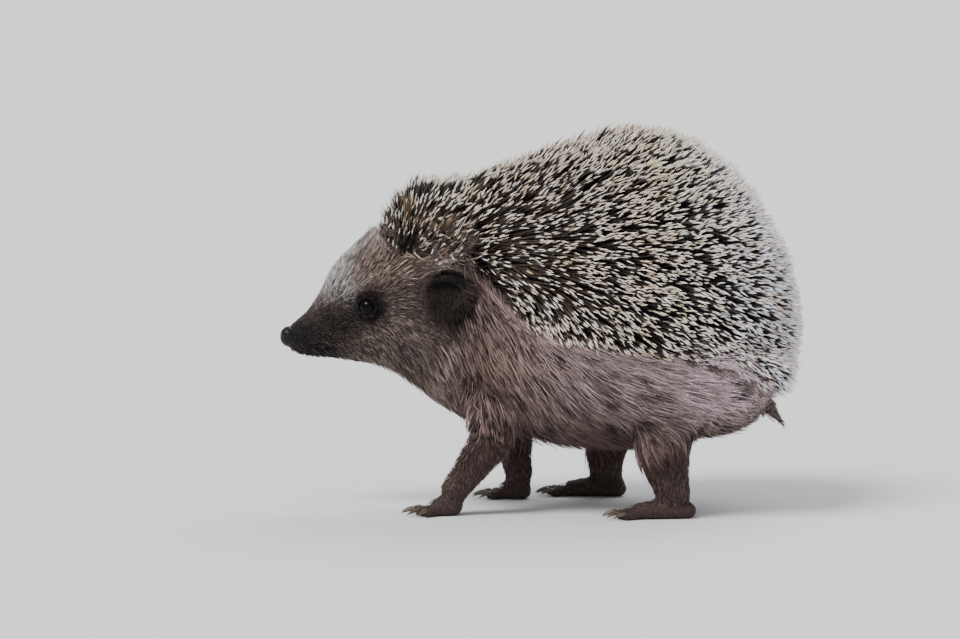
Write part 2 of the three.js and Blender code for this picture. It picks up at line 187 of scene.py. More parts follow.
def welded(verts, tris):
    """The same surface with equal vertices made one."""
    keys = np.round(verts / (0.001 * MM)).astype(np.int64)
    _, first, index = np.unique(keys, axis=0, return_index=True, return_inverse=True)
    tris = index.reshape(-1)[tris]
    whole = (tris[:, 0] != tris[:, 1]) & (tris[:, 1] != tris[:, 2]) & (tris[:, 2] != tris[:, 0])
    return verts[first], tris[whole]


def normals_of(verts, tris):
    a, b, c = (verts[tris[:, k]] for k in range(3))
    face = np.cross(b - a, c - a)
    total = [np.bincount(tris.ravel(), np.repeat(face[:, k], 3), len(verts)) for k in range(3)]
    return unit(np.stack(total, 1))


def edges_of(tris):
    pairs = np.concatenate([tris[:, [0, 1]], tris[:, [1, 2]], tris[:, [2, 0]]])
    return np.unique(np.sort(pairs, axis=1), axis=0)


def relaxed(values, edges, times, weight=0.5):
    """Values at the vertices, each moved towards the mean of its neighbours."""
    a, b = edges.T
    count = np.bincount(edges.ravel(), minlength=len(values))[:, None]
    values = values.reshape(len(values), -1).copy()
    weight = np.broadcast_to(np.reshape(weight, (-1, 1)), (len(values), 1))
    for _ in range(times):
        mean = np.stack([
            np.bincount(a, column[b], len(values)) + np.bincount(b, column[a], len(values))
            for column in values.T
        ], 1) / np.maximum(count, 1)
        values += weight * (mean - values)
    return values


def linked(name, data):
    thing = bpy.data.objects.new(name, data)
    bpy.context.scene.collection.objects.link(thing)
    return thing


def mesh_object(name, verts, tris, uv=None, **attributes):
    """A smooth object of triangles, with places on its UV map, and numbers or colours at its vertices."""
    mesh = bpy.data.meshes.new(name)
    mesh.vertices.add(len(verts))
    mesh.vertices.foreach_set("co", np.asarray(verts, np.float32).ravel())
    mesh.loops.add(len(tris) * 3)
    mesh.loops.foreach_set("vertex_index", np.asarray(tris, np.int32).ravel())
    mesh.polygons.add(len(tris))
    mesh.polygons.foreach_set("loop_start", np.arange(0, len(tris) * 3, 3, dtype=np.int32))
    mesh.update(calc_edges=True)
    if uv is not None:
        layer = mesh.uv_layers.new(name="OFBake")
        layer.data.foreach_set("uv", np.asarray(uv, np.float32).ravel())
    for key, values in attributes.items():
        kind, field = ("FLOAT", "value") if values.ndim == 1 else ("FLOAT_COLOR", "color")
        if field == "color":
            values = np.insert(values, 3, 1, axis=1)
        mesh.attributes.new(key, kind, "POINT").data.foreach_set(field, values.astype(np.float32).ravel())
    mesh.shade_smooth()
    return linked(name, mesh)


def modified(verts, tris, kind, chosen=None, **settings):
    """What a modifier makes of a surface, at the chosen vertices only if there are any."""
    thing = mesh_object("work", verts, tris)
    if chosen is not None:
        thing.vertex_groups.new(name="chosen").add(np.flatnonzero(chosen).tolist(), 1.0, "REPLACE")
        settings["vertex_group"] = "chosen"
    modifier = thing.modifiers.new("work", kind)
    for key, value in settings.items():
        setattr(modifier, key, value)
    result = arrays_of(thing.evaluated_get(bpy.context.evaluated_depsgraph_get()).to_mesh())
    bpy.data.meshes.remove(thing.data)
    return result


def remeshed(verts, tris):
    """The outer surface of overlapping bodies as one even mesh."""
    verts, tris = modified(verts, tris, "REMESH", mode="VOXEL", voxel_size=VOXEL * MM)
    return relaxed(verts, edges_of(tris), 2, 0.4), tris


def taken_from(work):
    """The arrays of a bmesh, which ends with this."""
    mesh = bpy.data.meshes.new("work")
    work.to_mesh(mesh)
    work.free()
    result = arrays_of(mesh)
    bpy.data.meshes.remove(mesh)
    return result


# ---------- what the frame says

def grown(node, by=0.0):
    verts, tris = welded(*arrays_of(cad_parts[node].data))
    return verts + normals_of(verts, tris) * by * MM, tris


def joined(nodes, by=0.0):
    """Several nodes in one set of arrays, and the number of the node that each triangle is from."""
    verts, tris, owners, count = [], [], [], 0
    for number, node in enumerate(nodes):
        v, t = grown(node, by)
        verts.append(v)
        tris.append(t + count)
        owners.append(np.full(len(t), number))
        count += len(v)
    return np.concatenate(verts), np.concatenate(tris), np.concatenate(owners)


def tree_of(verts, tris):
    return BVHTree.FromPolygons(verts.tolist(), tris.tolist())


def nearest_on(tree, points):
    """The nearest points of a surface, its normals there and the distances to it."""
    found = [tree.find_nearest(p) for p in points.tolist()]
    at, out, _, far = zip(*found)
    return np.array(at), np.array(out), np.array(far)


body_verts, body_tris, BODY_OWNERS = joined(BODY_NODES)
BODY_TREE = tree_of(body_verts, body_tris)
EYE_PLACES = [centre_and_size(eye)[0] for eye in EYES]
EYE_RADIUS = centre_and_size("eye_left")[1][2] / 2 + GROWTH * MM
NOSE_AT = centre_and_size("nose")[0]


def owner_of(points):
    """The index in BODY_NODES of the node that is nearest to each point."""
    found = [BODY_TREE.find_nearest(p)[2] for p in points.tolist()]
    return BODY_OWNERS[np.array(found)]


def owned_by(nodes, owners):
    return np.isin(owners, [BODY_NODES.index(node) for node in nodes])


def hem_line(steps=46):
    """The mantle's lower edge: its lowest point at each place along the body."""
    verts, tris, _ = joined(MANTLE)
    start, end = (verts[ends] for ends in edges_of(tris).T)
    ys = np.linspace(verts[:, 1].min() + 0.5 * MM, verts[:, 1].max() - 0.5 * MM, steps)
    low = []
    for y in ys:
        crossing = (start[:, 1] - y) * (end[:, 1] - y) < 0
        a, b = start[crossing], end[crossing]
        low.append((a[:, 2] + (b[:, 2] - a[:, 2]) * (y - a[:, 1]) / (b[:, 1] - a[:, 1])).min())
    return ys, np.array(low)


HEM_ALONG, HEM_UP = hem_line()


def above_hem(points):
    """How far up a point lies from the mantle's hem, seen from the side, in mm."""
    return (points[:, 2] - np.interp(points[:, 1], HEM_ALONG, HEM_UP)) / MM


def eye_clearance(points):
    """How far each point lies from the nearer eye, in mm, and the way from that eye to it."""
    gaps = np.stack([points - place for place in EYE_PLACES])
    far = np.linalg.norm(gaps, axis=2)
    nearer = far.argmin(0)
    which = np.arange(len(points))
    return far[nearer, which] / MM, unit(gaps[nearer, which])


def ways_of(ways, number):
    """The ways that an eye or an ear faces, that lead back from it, and up."""
    side = 1 - 2 * number
    facing, back = (unit(np.array(way) * [side, 1, 1]) for way in ways)
    back = unit(back - facing * (back @ facing))
    return facing, back, np.cross(facing, back) * side


def on_ear(points, number):
    """Points as an ear has them: how far out, from 0 in its middle to 1 on its rim, and in mm how high
    over the rim, and how far back and up."""
    facing, back, up = ways_of(EAR_WAYS, number)
    q = (points - centre_and_size(EARS[number])[0]) / MM
    behind, above = q @ back, q @ up
    shares = np.abs(behind / EAR_RADII[0]) ** EAR_POWER + np.abs(above / EAR_RADII[1]) ** EAR_POWER
    return shares ** (1 / EAR_POWER), q @ facing, (behind, above)


# ---------- the skin

def depth_of(verts, tris):
    """How deep the skin lies under each point of the outline."""
    owner = owner_of(verts)
    depth = np.array([COAT_DEPTH[node] for node in BODY_NODES])[owner]
    along, up = side_view(verts)
    on_head = 1.0 * smoothstep(along, -98, -86) + 2.4 * smoothstep(along, -84, -50)
    on_leg = 4.7 * smoothstep(up, 30, 50) - 1.3 * fading(up, 9, 22)
    under_belly = -2.5 * smoothstep(-normals_of(verts, tris)[:, 2], 0.3, 0.9)
    for nodes, more in ((("head",), on_head), (LIMBS, on_leg), (("trunk",), under_belly)):
        depth += np.where(owned_by(nodes, owner), more, 0)
    return depth * MM


def inset(verts, tris, depth, steps=14):
    """Sinks a surface by a depth at each vertex, in steps, and evens it out where it sinks far."""
    edges = edges_of(tris)
    depth = relaxed(depth, edges, 14)[:, 0]
    ease = 0.45 * smoothstep(depth, 2.0 * MM, 7.0 * MM)
    for _ in range(steps):
        normals = unit(relaxed(normals_of(verts, tris), edges, 4))
        verts = verts - normals * depth[:, None] / steps
        verts = relaxed(verts, edges, 2, ease)
    return verts


def softened(verts, tris):
    """The outline with the mantle's ledge and the tops of the legs blended into the body."""
    near_hem = bell(above_hem(verts), 0, 11) * smoothstep(verts[:, 1], -74 * MM, -66 * MM)
    legs, trunk = (tree_of(*joined(nodes)[:2]) for nodes in (LIMBS, ("trunk", "neck")))
    apart = nearest_on(legs, verts)[2] ** 2 + nearest_on(trunk, verts)[2] ** 2
    near_leg_top = np.exp(-apart / (7.5 * MM) ** 2)
    return relaxed(verts, edges_of(tris), 170, 0.5 * np.maximum(near_hem, near_leg_top))


def refined(verts, tris, centre, reach):
    """The same surface with its edges halved within a reach of a point, in mm."""
    thing = mesh_object("work", verts, tris)
    work = bmesh.new()
    work.from_mesh(thing.data)
    bpy.data.meshes.remove(thing.data)
    centre = Vector(centre)
    near = [e for e in work.edges if all((v.co - centre).length < reach * MM for v in e.verts)]
    bmesh.ops.subdivide_edges(work, edges=near, cuts=1, smooth=0)
    bmesh.ops.triangulate(work, faces=[f for f in work.faces if len(f.verts) > 3])
    return taken_from(work)


def with_lids(verts, number):
    """Opens the skin over an eye and raises a lid round it."""
    facing, back, up = ways_of(EYE_WAYS, number)
    q = (verts - EYE_PLACES[number]) / MM
    height = q @ facing
    along = q @ back
    across = (q @ up) / (0.93 - 0.24 * np.minimum((along / LID_OPENING) ** 2, 1))
    out = np.hypot(along, across)
    radius = EYE_RADIUS / MM
    on_ball = np.sqrt(np.maximum(radius ** 2 - np.minimum(out, radius * 0.97) ** 2, 0))
    crest = np.sqrt(radius ** 2 - LID_OPENING ** 2) + 0.50
    blend = smoothstep(out, LID_OPENING + 0.35, LID_OPENING + LID_REACH)
    folds = sum(depth * bell(out - LID_OPENING, at, width) for at, depth, width in LID_FOLDS)
    raised = crest + (height - crest) * blend - folds
    inside = on_ball - LID_BEHIND
    edge = smoothstep(out, LID_OPENING - 0.12, LID_OPENING + 0.22)
    target = inside + (raised - inside) * edge
    moved = verts + np.outer((target - height) * MM, facing)
    near = (out < LID_OPENING + LID_REACH) & (height > -2.0)
    return np.where(near[:, None], moved, verts)


def with_ear_hollow(verts, number):
    """Presses the bowl of an ear into its outward side and leaves a rim over it and behind it."""
    out, height, (behind, above) = on_ear(verts, number)
    rim = 1.7 * smoothstep(above + 0.35 * behind, -2, 4)
    deep = 1.2 + 4.2 * smoothstep(above, -3, 3)
    outward = smoothstep(height, -2.5, -0.5) * (np.abs(height) < 7)
    press = deep * fading(out, 0.5, 0.98) - rim * bell(out, 1.06, 0.13)
    return verts - np.outer(press * outward * MM, ways_of(EAR_WAYS, number)[0])


def with_mouth(verts, tris):
    """Presses the line between the lips into the skin, where head and jaw meet."""
    normals = normals_of(verts, tris)
    head, jaw = (tree_of(*grown(node)) for node in ("head", "lower_jaw"))
    _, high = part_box("lower_jaw")
    press = np.zeros(len(verts))
    for i in np.flatnonzero((verts[:, 1] < high.y + 3 * MM) & (verts[:, 2] < high.z + 3 * MM)):
        point = verts[i].tolist()
        apart = (head.find_nearest(point)[3] - jaw.find_nearest(point)[3]) / MM
        press[i] = MOUTH_DEPTH * math.exp(-((apart / MOUTH_WIDTH) ** 2))
    press *= smoothstep(np.abs(normals[:, 0]), 0.1, 0.5)
    return verts - normals * press[:, None] * MM


def claw_axis(node):
    """Where a claw leaves its toe, its tip, its way and its thickness there."""
    verts, _ = grown(node)
    _, _, axes = np.linalg.svd(verts - verts.mean(0))
    axis = axes[0] * (-1 if axes[0][1] > 0 else 1)
    reach = (verts - verts.mean(0)) @ axis
    ring = verts[reach < reach.min() + 0.25 * (reach.max() - reach.min())]
    root = ring.mean(0)
    return root, verts[reach.argmax()], axis, np.linalg.norm(ring - root, axis=1).max()


def toes_of(leg):
    """The base and the tip of each toe of a foot, and the way that the foot points."""
    lines, heading = [], np.zeros(3)
    for toe in TOES:
        root, _, axis, _ = claw_axis(f"claw_{leg}_{toe}")
        ahead = unit(axis * [1, 1, 0])
        tip = root * [1, 1, 0] - ahead * TOE_BACK * MM + [0, 0, TOE_HEIGHT * MM]
        lines.append((tip - ahead * TOE_LENGTH * MM + [0, 0, TOE_RISE * MM], tip))
        heading += ahead
    return lines, unit(heading)


TOE_ROWS = [toes_of(leg) for leg in LEGS]


def toe_distance(points, lines):
    """How far points lie outside a row of toes that blend into each other, in mm."""
    nearness = 0
    for base, tip in lines:
        line = tip - base
        share = np.clip((points - base) @ line / (line @ line), 0, 1)
        far = np.linalg.norm(points - base - share[:, None] * line, axis=1) / MM
        radius = TOE_RADIUS[0] + (TOE_RADIUS[1] - TOE_RADIUS[0]) * share
        nearness += np.exp((radius - far) / TOE_BLEND)
    return -TOE_BLEND * np.log(nearness + 1e-30)


def with_toes(verts, tris, turns=24, eased_turns=20):
    """Draws the front of each foot onto its toes, a step in each turn."""
    verts = verts.copy()
    edges = edges_of(tris)
    for lines, heading in TOE_ROWS:
        middle = np.mean([base for base, _ in lines], axis=0)
        ahead = (verts - middle) @ heading / MM
        reached = (np.linalg.norm(verts - middle, axis=1) < 15 * MM) & (verts[:, 2] < 9 * MM)
        share = 0.6 * smoothstep(ahead, -0.5, 3.0) * reached
        near = np.flatnonzero(share)
        for turn in range(turns):
            points = verts[near]
            away = toe_distance(points, lines)
            step = 0.05 * MM
            slope = np.stack([toe_distance(points + step * axis, lines) - away for axis in np.eye(3)], 1)
            verts[near] -= unit(slope) * (share[near] * away.clip(-1, 1))[:, None] * MM
            if turn < eased_turns:
                verts = relaxed(verts, edges, 1, 0.3 * (share > 0))
    verts[:, 2] = verts[:, 2].clip(0.1 * MM)
    return verts


def skin_surface(verts, tris, soft):
    """The bare skin as one mesh, finer on the face, the ears and the feet."""
    level, tris = remeshed(inset(soft, tris, depth_of(verts, tris)), tris)
    ears = gap_to(level, [centre_and_size(ear)[0] for ear in EARS])
    feet = gap_to(level, [np.mean(lines, axis=(0, 1)) for lines, _ in TOE_ROWS])
    kept = (level[:, 1] < FACE_END * MM) | (ears < 15 * MM) | (feet < 12 * MM)
    return modified(level, tris, "DECIMATE", ~kept, ratio=SKIN_SHARE)


def finished_skin(verts, tris, soft):
    """The skin with toes, lids, the bowls of the ears and the line of the mouth."""
    verts, tris = skin_surface(verts, tris, soft)
    for lines, heading in TOE_ROWS:
        foot_middle = np.mean([base for base, _ in lines], axis=0) + 4 * MM * heading
        verts, tris = refined(verts, tris, foot_middle, 10.5)
    verts = with_toes(verts, tris)
    head_middle = [0, -0.08, 0.082]
    verts, tris = refined(verts, tris, head_middle, 30)
    for place in EYE_PLACES:
        for reach in (9.0, 6.5):
            verts, tris = refined(verts, tris, place, reach)
    by_eyes = gap_to(verts, EYE_PLACES)
    verts = relaxed(verts, edges_of(tris), 6, 0.5 * fading(by_eyes, 8 * MM, 11 * MM))
    for number in range(2):
        verts = with_lids(verts, number)
        verts = with_ear_hollow(verts, number)
    return with_mouth(verts, tris), tris


def unwrapped(thing):
    """Gives an object the map OFBake and returns each corner's place on it."""
    bpy.context.view_layer.objects.active = thing
    thing.select_set(True)
    thing.data.uv_layers.new(name="OFBake")
    bpy.ops.object.mode_set(mode="EDIT")
    bpy.ops.mesh.select_all(action="SELECT")
    bpy.ops.uv.smart_project(angle_limit=math.radians(66), island_margin=0.002)
    bpy.ops.object.mode_set(mode="OBJECT")
    thing.select_set(False)
    return read(thing.data.uv_layers["OFBake"].data, "uv", 2).reshape(-1, 3, 2)


# ---------- markings

# (name, along, up, reach along, reach up, colour), each laid softly over the ones before it.
BASE_TINT = (0.235, 0.172, 0.16)
MARKINGS = (
    ("belly", 26, 26, 84, 29, (0.108, 0.07, 0.057)),
    ("hind flank", 62, 62, 38, 17, (0.388, 0.302, 0.306)),
    ("shoulder", -24, 74, 17, 32, (0.165, 0.11, 0.092)),
    ("legs", 10, 3, 100, 35, (0.115, 0.073, 0.066)),
    # behind ear: dark brown, a painted shade cast behind and below the ear
    ("behind ear", -34, 74, 10, 18, (0.106, 0.07, 0.057)),
    ("throat", -52, 56, 18, 13, (0.15, 0.11, 0.092)),
    ("head", -66, 84, 27, 26, (0.22, 0.166, 0.142)),
    ("crown", -52, 108, 20, 10, (0.29, 0.22, 0.172)),
    # bridge, forehead and fringe: pale fur along the front of the face, made paler still as painted rim light
    # up to the quills
    ("bridge", -91, 94, 9, 9, (0.3, 0.27, 0.262)),
    ("forehead", -84, 104, 11, 14, (0.5, 0.48, 0.472)),
    ("fringe", -74, 115, 9, 9, (0.42, 0.372, 0.355)),
    ("brow", -71, 101, 12, 8, (0.315, 0.24, 0.202)),
    ("cheek", -60, 76, 14, 11, (0.24, 0.186, 0.168)),
    ("snout", -100, 73, 14, 10, (0.022, 0.017, 0.017)),
    ("mask", -86, 78, 12, 8, (0.05, 0.038, 0.036)),
    ("lips", -94, 66, 12, 5, (0.02, 0.015, 0.015)),
    ("eye patch", -73, 86, 8, 7, (0.02, 0.016, 0.015)),
    # ear: its own dark skin and fur, made near black as painted shade of the hollow under the rim
    ("ear", -40, 91, 15, 14, (0.04, 0.029, 0.024)),
    ("ear rim", -42, 104, 10, 4, (0.31, 0.25, 0.215)),
)
MANTLE_TINTS_AND_SHADE = ((0.155, 0.108, 0.068), (0.075, 0.06, 0.055))  # under the quills: tan on the crown, and elsewhere a dark brown painted shade of the deep gaps between quills
QUILL_ROOT_TINTS = ((0.52, 0.37, 0.215), (0.15, 0.107, 0.072))  # on the crown, and elsewhere
QUILL_REAR_TINT = (0.33, 0.31, 0.36)
# near black: the lids' own bare skin, and painted shade in the upper bowls of the ears
BARE_SKIN_AND_SHADE_TINT = (0.006, 0.005, 0.005)
EYE_PATCH_TINT = (0.016, 0.012, 0.012)
EAR_BRUSH_TINT = (0.23, 0.17, 0.13)
FEELER_TINT = (0.05, 0.04, 0.04)
GUARD_TINT_AND_SHEEN = (1.14, 1.16, 1.22)  # of the fur below, for the long hairs: paler by their own colour, and bluer as a painted sheen


def on_crown(points):
    """1 on the crown, and 0 on the back."""
    return fading(points[:, 1], -52 * MM, -22 * MM)


def by_crown(points, tints):
    """Goes from the first tint on the crown to the second on the back."""
    crown = on_crown(points)[:, None]
    first, second = np.array(tints)
    return crown * first + (1 - crown) * second


def tint_of(points):
    """The colour of the coat over each point, with painted shade under the quills and round the ears, and
    painted light along the front of the face.
    """
    along, up = side_view(points)
    tint = np.tile(np.array(BASE_TINT), (len(points), 1))
    for _, at_along, at_up, reach_along, reach_up, colour in MARKINGS:
        far = ((along - at_along) / reach_along) ** 2 + ((up - at_up) / reach_up) ** 2
        tint = blended(tint, np.exp(-far ** 1.5), colour)
    tint = blended(tint, 0.85 * fading(eye_clearance(points)[0], 4.4, 7.4), EYE_PATCH_TINT)
    # Under the quills the coat takes the mantle's tints: tan on the crown, elsewhere a dark painted shade of
    # the gaps between quills.
    mantle = smoothstep(above_hem(points), 1, 7) * (along > FRINGE - 0.5)
    return blended(tint, mantle, by_crown(points, MANTLE_TINTS_AND_SHADE))


def skin_tint(points):
    """The markings on the bare skin, which is near black on the lids, and near black in the upper bowls of
    the ears as painted shade under their rims.
    """
    dark = fading(eye_clearance(points)[0], 5.0, 6.5)
    for number in range(2):
        out, height, (_, above) = on_ear(points, number)
        # the upper bowl of each ear is painted near black as the shade under its rim
        bowl = fading(out, 0.7, 1.1) * smoothstep(above, -4, 2)
        dark = np.maximum(dark, bowl * (np.abs(height) < 8))
    return blended(tint_of(points), dark, BARE_SKIN_AND_SHADE_TINT)


# ---------- the coat

UV_PATCH = 0.003  # the side of a strand's patch on the map OFBake
LOCK_TONE = 0.66  # how far the hairs of a lock are of one tone, for each part of its pull
STRAY_SHARE = 0.07  # of the hairs stand off the coat
HAIR_SUNK = 0.25  # into the skin

QUILL_DENSITY = 1.9  # tried roots per square mm, before the spacing
QUILL_SPACING = 1.22  # least distance between two roots
QUILL_SUNK = 0.8  # into the skin
QUILL_SIZES = (10, 25)  # least and greatest length
QUILL_WIDTHS = (0.7, 0.96)
QUILL_UNMET = 18  # length of a quill that meets no outline
CROWN_DROP = 6.5  # how much lower the quills reach on the crown
CROWN_FUR = 6  # how much higher the fur reaches on the crown

GUARD_WIDTHS = (0.28, 0.5)
LEG_TOPS = (-20, 60)  # along, where the long hairs give way to the legs
EAR_BRUSH = ((-49, 7), (103, 4))  # (middle, reach) along and up of the long hairs over the ears
EAR_BRUSH_WAY = (0.24, 0.9, 0.34)  # of theirs on the left

FEELERS = 22
FEELER_ROOTS = ((-101, -90), (67, 76))  # along and up, on the snout
FEELER_SIZES = (7, 14)
FEELER_WIDTH = 0.2

# A strand's outline: (share of the length, share of the width) from root to tip.
QUILL_PROFILE = ((0.0, 0.6), (0.5, 1.0), (0.84, 0.88), (0.95, 0.42))
HAIR_PROFILE = ((0.0, 0.8), (0.35, 1.0), (0.74, 0.66))
GUARD_PROFILE = ((0.0, 0.7), (0.2, 1.0), (0.48, 1.0), (0.8, 0.6))
SHORT_PROFILE = ((0.0, 0.9), (0.5, 0.85))

# Each kind of fur: the nodes it grows on, hairs per square mm, their width, their outline, the
# distance between locks, how far a lock pulls its tips together, and the material slot.
FURS = (
    ("face", ("head", "lower_jaw", "nose") + EYES, 4.4, 0.26, SHORT_PROFILE, 1.8, 0.3, "face_fur"),
    ("neck", ("neck", "spines_crown"), 2.1, 0.34, HAIR_PROFILE, 3.0, 0.6, "body_fur"),
    ("flank", ("trunk", "spines_back", "spines_rump"), 1.85, 0.39, HAIR_PROFILE, 3.2, 0.65, "body_fur"),
    ("leg", ("tail",) + LIMBS, 2.0, 0.28, SHORT_PROFILE, 2.2, 0.35, "leg_fur"),
    ("foot", FEET, 1.4, 0.22, SHORT_PROFILE, 2.0, 0.2, "foot_skin"),
)


def combed(points, comb, column):
    """The comb's angle (column 3, in radians) or length (column 4, in mm) at each point."""
    along, up = side_view(points)
    at_along, at_up, values = (np.array([place[k] for place in comb], float) for k in (1, 2, column))
    weight = 1 / ((along[:, None] - at_along) ** 2 + (up[:, None] - at_up) ** 2 + 25) ** 1.8
    weight /= weight.sum(1, keepdims=True)
    if column == 4:
        return weight @ values
    angle = np.radians(values)
    return np.arctan2(weight @ np.sin(angle), weight @ np.cos(angle))


def comb_way(points, comb, sway):
    """The way of the coat in side view, with a random sway in degrees."""
    angle = combed(points, comb, 3) + np.radians(sway) * rng.standard_normal(len(points))
    return np.stack([np.zeros(len(points)), np.cos(angle), np.sin(angle)], 1)


class Ground:
    """The skin that the coat grows on."""

    def __init__(self, verts, tris, uv):
        self.verts, self.tris, self.uv = verts, tris, uv
        self.normals = normals_of(verts, tris)
        self.middles = verts[tris].mean(1)
        self.down = -self.normals[tris[:, 0], 2]
        self.owners = owner_of(self.middles)
        self.owners[self.on(LIMBS) & (self.middles[:, 2] > LEG_TOP * MM)] = BODY_NODES.index("trunk")
        for number, ear in enumerate(EARS):
            out, height, (_, above) = on_ear(self.middles, number)
            near = (out < 1) | (out < 1.2) & (height > -6) | (out < 1.45) & (above > 4) & (height > -8)
            self.owners[near & (height > -10) & (height < 6)] = BODY_NODES.index(ear)
        a, b, c = (verts[tris[:, k]] for k in range(3))
        self.areas = np.linalg.norm(np.cross(b - a, c - a), axis=1) / 2 / MM ** 2

    def on(self, nodes):
        """Which triangles belong to some nodes."""
        return owned_by(nodes, self.owners)

    def roots(self, density):
        """Roots drawn at a number per square mm for each triangle: points, normals, places on the map."""
        expected = self.areas * density
        face = rng.choice(len(self.tris), int(expected.sum()), p=expected / expected.sum())
        share = rng.random((len(face), 2))
        over = share.sum(1) > 1
        share[over] = 1 - share[over]
        weight = np.concatenate([1 - share.sum(1, keepdims=True), share], 1)[:, :, None]
        corners = self.tris[face]
        points, normals = ((values[corners] * weight).sum(1) for values in (self.verts, self.normals))
        return points, unit(normals), (self.uv[face] * weight).sum(1)


def spaced(points, spacing):
    """The numbers of points kept so that no two lie closer than a spacing in mm."""
    size = spacing * MM
    cells = {}
    kept = []
    steps = [(i, j, k) for i in (-1, 0, 1) for j in (-1, 0, 1) for k in (-1, 0, 1)]
    for number, point in enumerate(points.tolist()):
        x, y, z = (math.floor(c / size) for c in point)
        near = (other for i, j, k in steps for other in cells.get((x + i, y + j, z + k), ()))
        if all(math.dist(point, other) > size for other in near):
            cells.setdefault((x, y, z), []).append(point)
            kept.append(number)
    return np.array(kept)


def strand_pattern(profile, sides):
    """The triangles of one closed strand, and the place of each corner on its patch of the map."""
    tris, places = [], []
    heights = [t for t, _ in profile]
    for ring, (v, v_next) in enumerate(zip(heights, heights[1:])):
        for k in range(sides):
            a, b = ring * sides + k, ring * sides + (k + 1) % sides
            u, u_next = k / sides, (k + 1) / sides
            tris += [(a, b, b + sides), (a, b + sides, a + sides)]
            places += [((u, v), (u_next, v), (u_next, v_next)), ((u, v), (u_next, v_next), (u, v_next))]
    last, tip, v = (len(profile) - 1) * sides, len(profile) * sides, heights[-1]
    for k in range(sides):
        tris.append((last + k, last + (k + 1) % sides, tip))
        places.append(((k / sides, v), ((k + 1) / sides, v), ((k + 0.5) / sides, 1)))
    for k in range(1, sides - 1):
        tris.append((0, k + 1, k))
        places.append(((0, 0), (1, 0), (0.5, 0.06)))
    return np.array(tris), np.array(places)


def strands(name, coat, chosen, profile, slot, sides=3):
    """One mesh of closed, tapered strands, each led from its root by its middle to its tip."""
    roots, middles, tips, widths, places, tone, tint = (values[chosen] for values in coat)
    count, size = len(roots), len(profile) * sides + 1
    way = unit(tips - roots)
    across = unit(np.cross(way, rng.standard_normal(way.shape)))
    deep = np.cross(way, across)
    verts, along = np.empty((count, size, 3)), np.ones(size)
    for ring, (t, width) in enumerate(profile):
        centre = (1 - t) ** 2 * roots + 2 * t * (1 - t) * middles + t * t * tips
        half = (widths * width / 2)[:, None]
        for k in range(sides):
            turn = 2 * math.pi * k / sides
            verts[:, ring * sides + k] = centre + half * (across * math.cos(turn) + deep * math.sin(turn))
        along[ring * sides:(ring + 1) * sides] = t
    verts[:, -1] = tips
    tris, patch = strand_pattern(profile, sides)
    tris = tris[None] + size * np.arange(count)[:, None, None]
    uv = places[:, None, None] + UV_PATCH * (patch[None] - 0.5)
    lengths = np.linalg.norm(tips - roots, axis=1) / MM
    thing = mesh_object(
        name, verts.reshape(-1, 3), tris.reshape(-1, 3), uv.reshape(-1, 2), along=np.tile(along, count),
        tone=np.repeat(tone, size), below_tip=(lengths[:, None] * (1 - along)).ravel(),
        tint=np.repeat(tint, size, axis=0),
    )
    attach(thing, "root")
    thing.data.materials.append(COATS[slot])
    return thing


def strands_by_side(name, coat, left, profile, slot, chosen=True):
    for side, on_side in (("left", left), ("right", ~left)):
        strands(f"{name}_{side}", coat, on_side & chosen, profile, slot)


def gathered(roots, tips, spacing, pull):
    """Tips drawn together in locks, and a tone for each lock."""
    seeds = spaced(roots, spacing)
    tree = KDTree(len(seeds))
    for number, seed in enumerate(seeds):
        tree.insert(roots[seed], number)
    tree.balance()
    lock = np.array([tree.find(root)[1] for root in roots])
    pull = pull * rng.uniform(0.4, 1.3, len(roots))[:, None]
    return tips + pull * (tips[seeds][lock] - tips), rng.random(len(seeds))[lock]


def quill_roots(ground):
    """Evenly spaced roots in the mantle, with a ragged hem and fewer of them at the front."""
    along, _ = side_view(ground.middles)
    high = above_hem(ground.middles) + CROWN_DROP * fading(along, -44, -34)
    ragged = high + 1.2 * rng.standard_normal(len(high))
    allowed = (along > FRINGE) & (high > 0.5)
    drawn = ground.roots(QUILL_DENSITY * smoothstep(ragged, 0.5, 6.0) * allowed)
    keep = spaced(drawn[0], QUILL_SPACING)
    thin = 0.28 * fading(side_view(drawn[0][keep])[0], -62, -40)
    keep = keep[rng.random(len(keep)) > thin]
    return [values[keep] for values in drawn]


def quill_ways(roots, normals):
    """The way of each quill: the comb's in side view, turned out with the skin, and never into it."""
    count = len(roots)
    aside = np.radians(50 * np.abs(normals[:, 0]) + 9 * rng.standard_normal(count))
    way = comb_way(roots, QUILL_COMB, 17) * np.cos(aside)[:, None]
    way[:, 0] += np.sign(roots[:, 0]) * np.sin(aside) + 0.15 * rng.standard_normal(count)
    way = unit(way)
    low = np.maximum(0.32 - (way * normals).sum(1), 0)
    return unit(way + normals * low[:, None])


def quill_lengths(roots, ways):
    """Up to the outline of the coat, shorter by chance and near the hem."""
    hits = (OUTLINE_TREE.ray_cast(p, w) for p, w in zip(roots.tolist(), ways.tolist()))
    reach = np.array([hit[3] if hit[0] else QUILL_UNMET * MM for hit in hits])
    least, longest = QUILL_SIZES
    longest = longest - 10 * fading(above_hem(roots), 5, 24)
    return np.clip(reach * (1.06 - 0.26 * rng.random(len(roots)) ** 1.5), least * MM, longest * MM)


